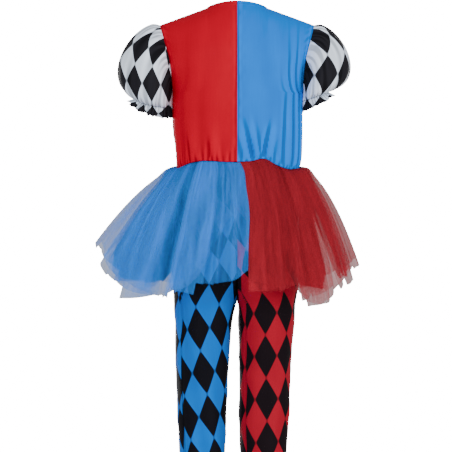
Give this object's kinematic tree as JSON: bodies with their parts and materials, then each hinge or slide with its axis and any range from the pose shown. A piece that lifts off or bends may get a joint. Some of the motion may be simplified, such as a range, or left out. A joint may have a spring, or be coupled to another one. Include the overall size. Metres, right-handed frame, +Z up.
{
  "type": "child's harlequin costume, worn",
  "caption": "Worn one-piece harlequin costume for a small child: satin bodice, puff sleeves, gathered tutu and leggings.",
  "frame": {"origin": "middle of the neck opening, at the height where the shoulder seams begin", "axes": "+Z up the wearer's spine, +X to the wearer's left, so the front faces -Y and the picture looks along -Y at the back"},
  "size_m": [0.3702, 0.2668, 0.7155],
  "materials": {
    "red_satin": "plain knitted satin with a soft sheen",
    "blue_satin": "plain knitted satin with a soft sheen",
    "white_black_lozenge": "satin printed with white and black lozenges",
    "blue_black_lozenge": "satin printed with blue and black lozenges",
    "red_black_lozenge": "satin printed with red and black lozenges",
    "blue_tulle": "soft blue tulle, seen through",
    "red_tulle": "soft red tulle, seen through"
  },
  "bodies": {
    "root": {"bodice_back_left": "red_satin", "bodice_back_right": "blue_satin", "bodice_front_left": "red_black_lozenge", "bodice_front_right": "blue_black_lozenge", "sleeve_left": "white_black_lozenge", "sleeve_right": "white_black_lozenge", "tutu_left_outer": "blue_tulle", "tutu_left_under": "blue_tulle", "tutu_right_outer": "red_tulle", "tutu_right_under": "red_tulle", "leg_left_back": "blue_black_lozenge", "leg_left_front": "blue_black_lozenge", "leg_right_back": "red_black_lozenge", "leg_right_front": "red_black_lozenge"}
  },
  "joints": []
}
